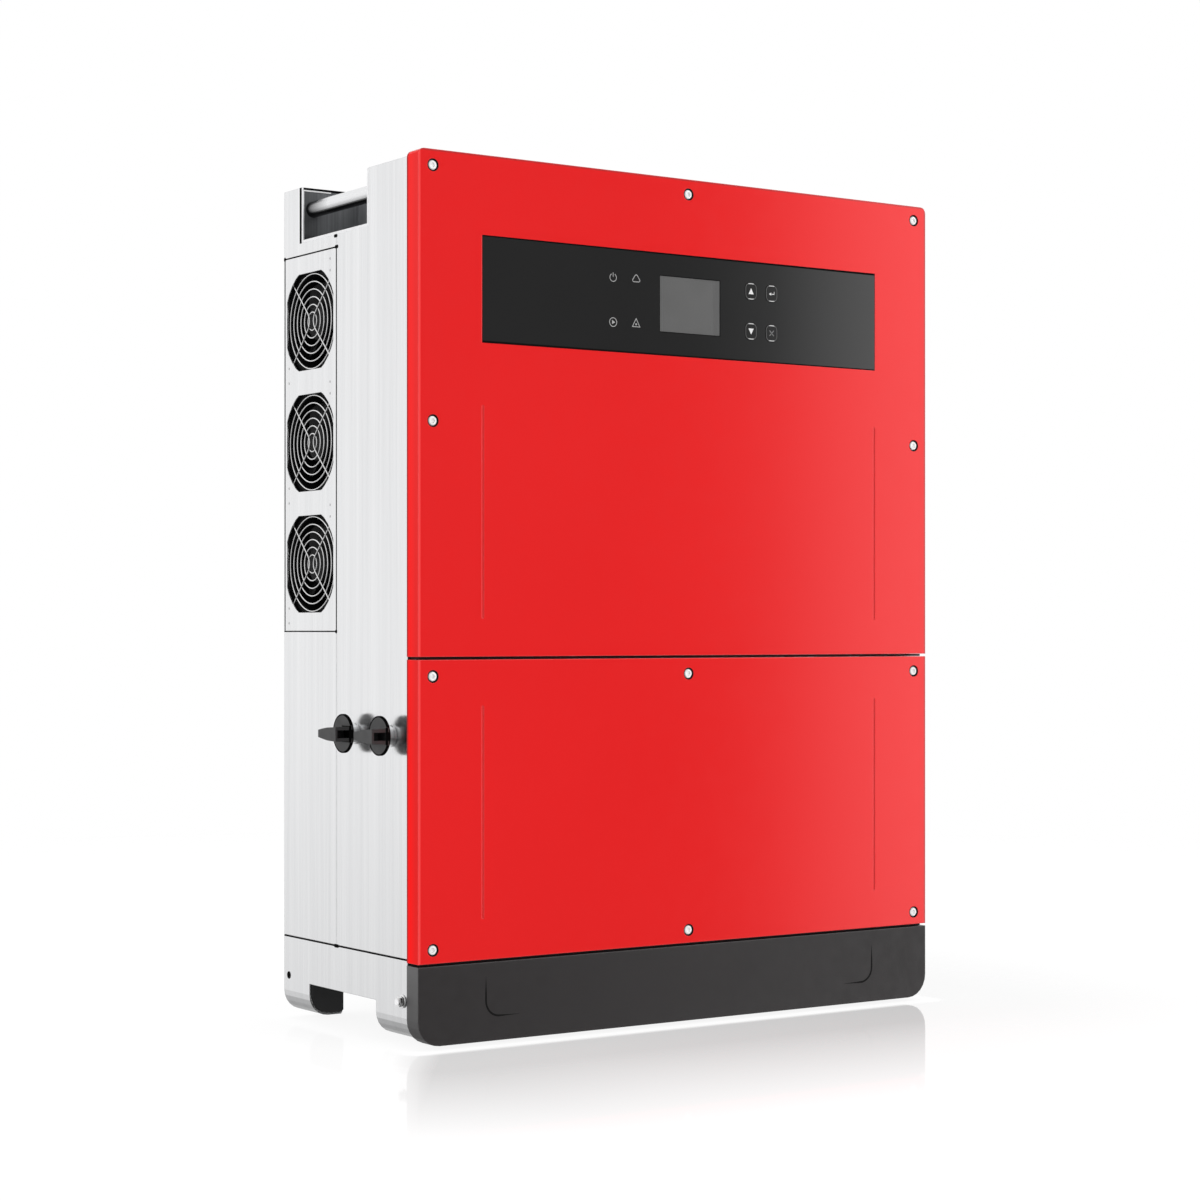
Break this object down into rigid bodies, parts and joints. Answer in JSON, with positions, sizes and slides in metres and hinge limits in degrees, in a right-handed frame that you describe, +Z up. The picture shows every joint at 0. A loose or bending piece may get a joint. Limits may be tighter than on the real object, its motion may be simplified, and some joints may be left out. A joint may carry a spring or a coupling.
{
  "type": "string inverter",
  "caption": "Wall-hung three-phase string inverter: red two-piece front cover, brushed aluminium housing, side fan tray, rotary DC isolators, carrying handles and bottom cable entries.",
  "frame": {"origin": "centre of the hanger rail's rear face, where the unit bears on the wall bracket, 600 mm above its underside", "axes": "+X to the unit's right as seen from the front, +Y out of the back towards the wall, +Z up; the front faces -Y"},
  "size_m": [0.615, 0.2643, 0.788],
  "materials": {
    "red_paint": "satin powder coat, red",
    "brushed_aluminium": "vertical brushed, clear anodised",
    "cast_aluminium": "as cast and extruded, matt",
    "dark_sheet": "dark coated sheet",
    "charcoal_plastic": "fine textured charcoal",
    "display_gloss": "polished black film",
    "lcd_face": "unlit grey LCD behind a clear film",
    "black_plastic": "moulded black",
    "stainless_steel": "bright stainless",
    "seal_rubber": "closed-cell EPDM",
    "circuit_board": "green solder resist",
    "capacitor_sleeve": "shrink sleeve, dark",
    "terminal_grey": "moulded grey"
  },
  "bodies": {
    "enclosure": {"main_housing": "brushed_aluminium", "rear_duct_shell": "brushed_aluminium", "heatsink": "cast_aluminium", "handle_pocket_left": "dark_sheet", "handle_pocket_right": "dark_sheet", "handle_bar_left": "brushed_aluminium", "handle_bar_right": "brushed_aluminium", "upper_cover": "red_paint", "upper_gasket": "seal_rubber", "cover_screw_01": "stainless_steel", "cover_screw_02": "stainless_steel", "cover_screw_03": "stainless_steel", "cover_screw_04": "stainless_steel", "cover_screw_05": "stainless_steel", "bottom_trim": "charcoal_plastic", "skirt_left": "brushed_aluminium", "skirt_right": "brushed_aluminium", "earth_bolt": "stainless_steel", "display_panel": "display_gloss", "lcd_module": "lcd_face", "display_board": "circuit_board", "dc_collar_front": "brushed_aluminium", "dc_collar_rear": "brushed_aluminium", "dc_switch_front": "terminal_grey", "dc_switch_rear": "terminal_grey", "power_board": "circuit_board", "dc_link_capacitors": "capacitor_sleeve", "control_board": "circuit_board", "ac_terminal_block": "terminal_grey", "choke_bank": "cast_aluminium", "string_connectors_a": "black_plastic", "string_connectors_b": "black_plastic", "ac_gland": "black_plastic", "comm_gland": "black_plastic", "hanger_rail": "stainless_steel", "wall_spacer": "stainless_steel"},
    "lower_cover": {"lower_cover": "red_paint", "lower_gasket": "seal_rubber", "cover_screw_06": "stainless_steel", "cover_screw_07": "stainless_steel", "cover_screw_08": "stainless_steel", "cover_screw_09": "stainless_steel", "cover_screw_10": "stainless_steel", "cover_screw_11": "stainless_steel"},
    "fan_tray": {"fan_tray": "brushed_aluminium", "fan_frame_1": "black_plastic", "fan_frame_2": "black_plastic", "fan_frame_3": "black_plastic", "fan_guard_1": "stainless_steel", "fan_guard_2": "stainless_steel", "fan_guard_3": "stainless_steel"},
    "fan_rotor_1": {"fan_rotor_1": "black_plastic"},
    "fan_rotor_2": {"fan_rotor_2": "black_plastic"},
    "fan_rotor_3": {"fan_rotor_3": "black_plastic"},
    "dc_knob_front": {"dc_knob_front": "black_plastic"},
    "dc_knob_rear": {"dc_knob_rear": "black_plastic"},
    "key_up": {"key_up": "display_gloss"},
    "key_enter": {"key_enter": "display_gloss"},
    "key_down": {"key_down": "display_gloss"},
    "key_escape": {"key_escape": "display_gloss"}
  },
  "joints": [
    {"name": "lower_cover_slide", "type": "slide", "parent": "enclosure", "child": "lower_cover", "axis": [0, -1, 0], "range_m": [0, 0.15]},
    {"name": "fan_tray_slide", "type": "slide", "parent": "enclosure", "child": "fan_tray", "axis": [-1, 0, 0], "range_m": [0, 0.12]},
    {"name": "fan_1_spin", "type": "hinge", "parent": "fan_tray", "child": "fan_rotor_1", "pos_m": [-0.272, -0.0613, 0.0558], "axis": [1, 0, 0], "continuous": true},
    {"name": "fan_2_spin", "type": "hinge", "parent": "fan_tray", "child": "fan_rotor_2", "pos_m": [-0.272, -0.0613, -0.0582], "axis": [1, 0, 0], "continuous": true},
    {"name": "fan_3_spin", "type": "hinge", "parent": "fan_tray", "child": "fan_rotor_3", "pos_m": [-0.272, -0.0613, -0.1722], "axis": [1, 0, 0], "continuous": true},
    {"name": "dc_knob_front_turn", "type": "hinge", "parent": "enclosure", "child": "dc_knob_front", "pos_m": [-0.3044, -0.2161, -0.3281], "axis": [1, 0, 0], "range_deg": [0, 90]},
    {"name": "dc_knob_rear_turn", "type": "hinge", "parent": "enclosure", "child": "dc_knob_rear", "pos_m": [-0.3044, -0.1495, -0.3281], "axis": [1, 0, 0], "range_deg": [0, 90]},
    {"name": "key_up_press", "type": "slide", "parent": "enclosure", "child": "key_up", "axis": [0, 1, 0], "range_m": [0, 0.0006], "stiffness_N_per_m": 800},
    {"name": "key_enter_press", "type": "slide", "parent": "enclosure", "child": "key_enter", "axis": [0, 1, 0], "range_m": [0, 0.0006], "stiffness_N_per_m": 800},
    {"name": "key_down_press", "type": "slide", "parent": "enclosure", "child": "key_down", "axis": [0, 1, 0], "range_m": [0, 0.0006], "stiffness_N_per_m": 800},
    {"name": "key_escape_press", "type": "slide", "parent": "enclosure", "child": "key_escape", "axis": [0, 1, 0], "range_m": [0, 0.0006], "stiffness_N_per_m": 800}
  ]
}
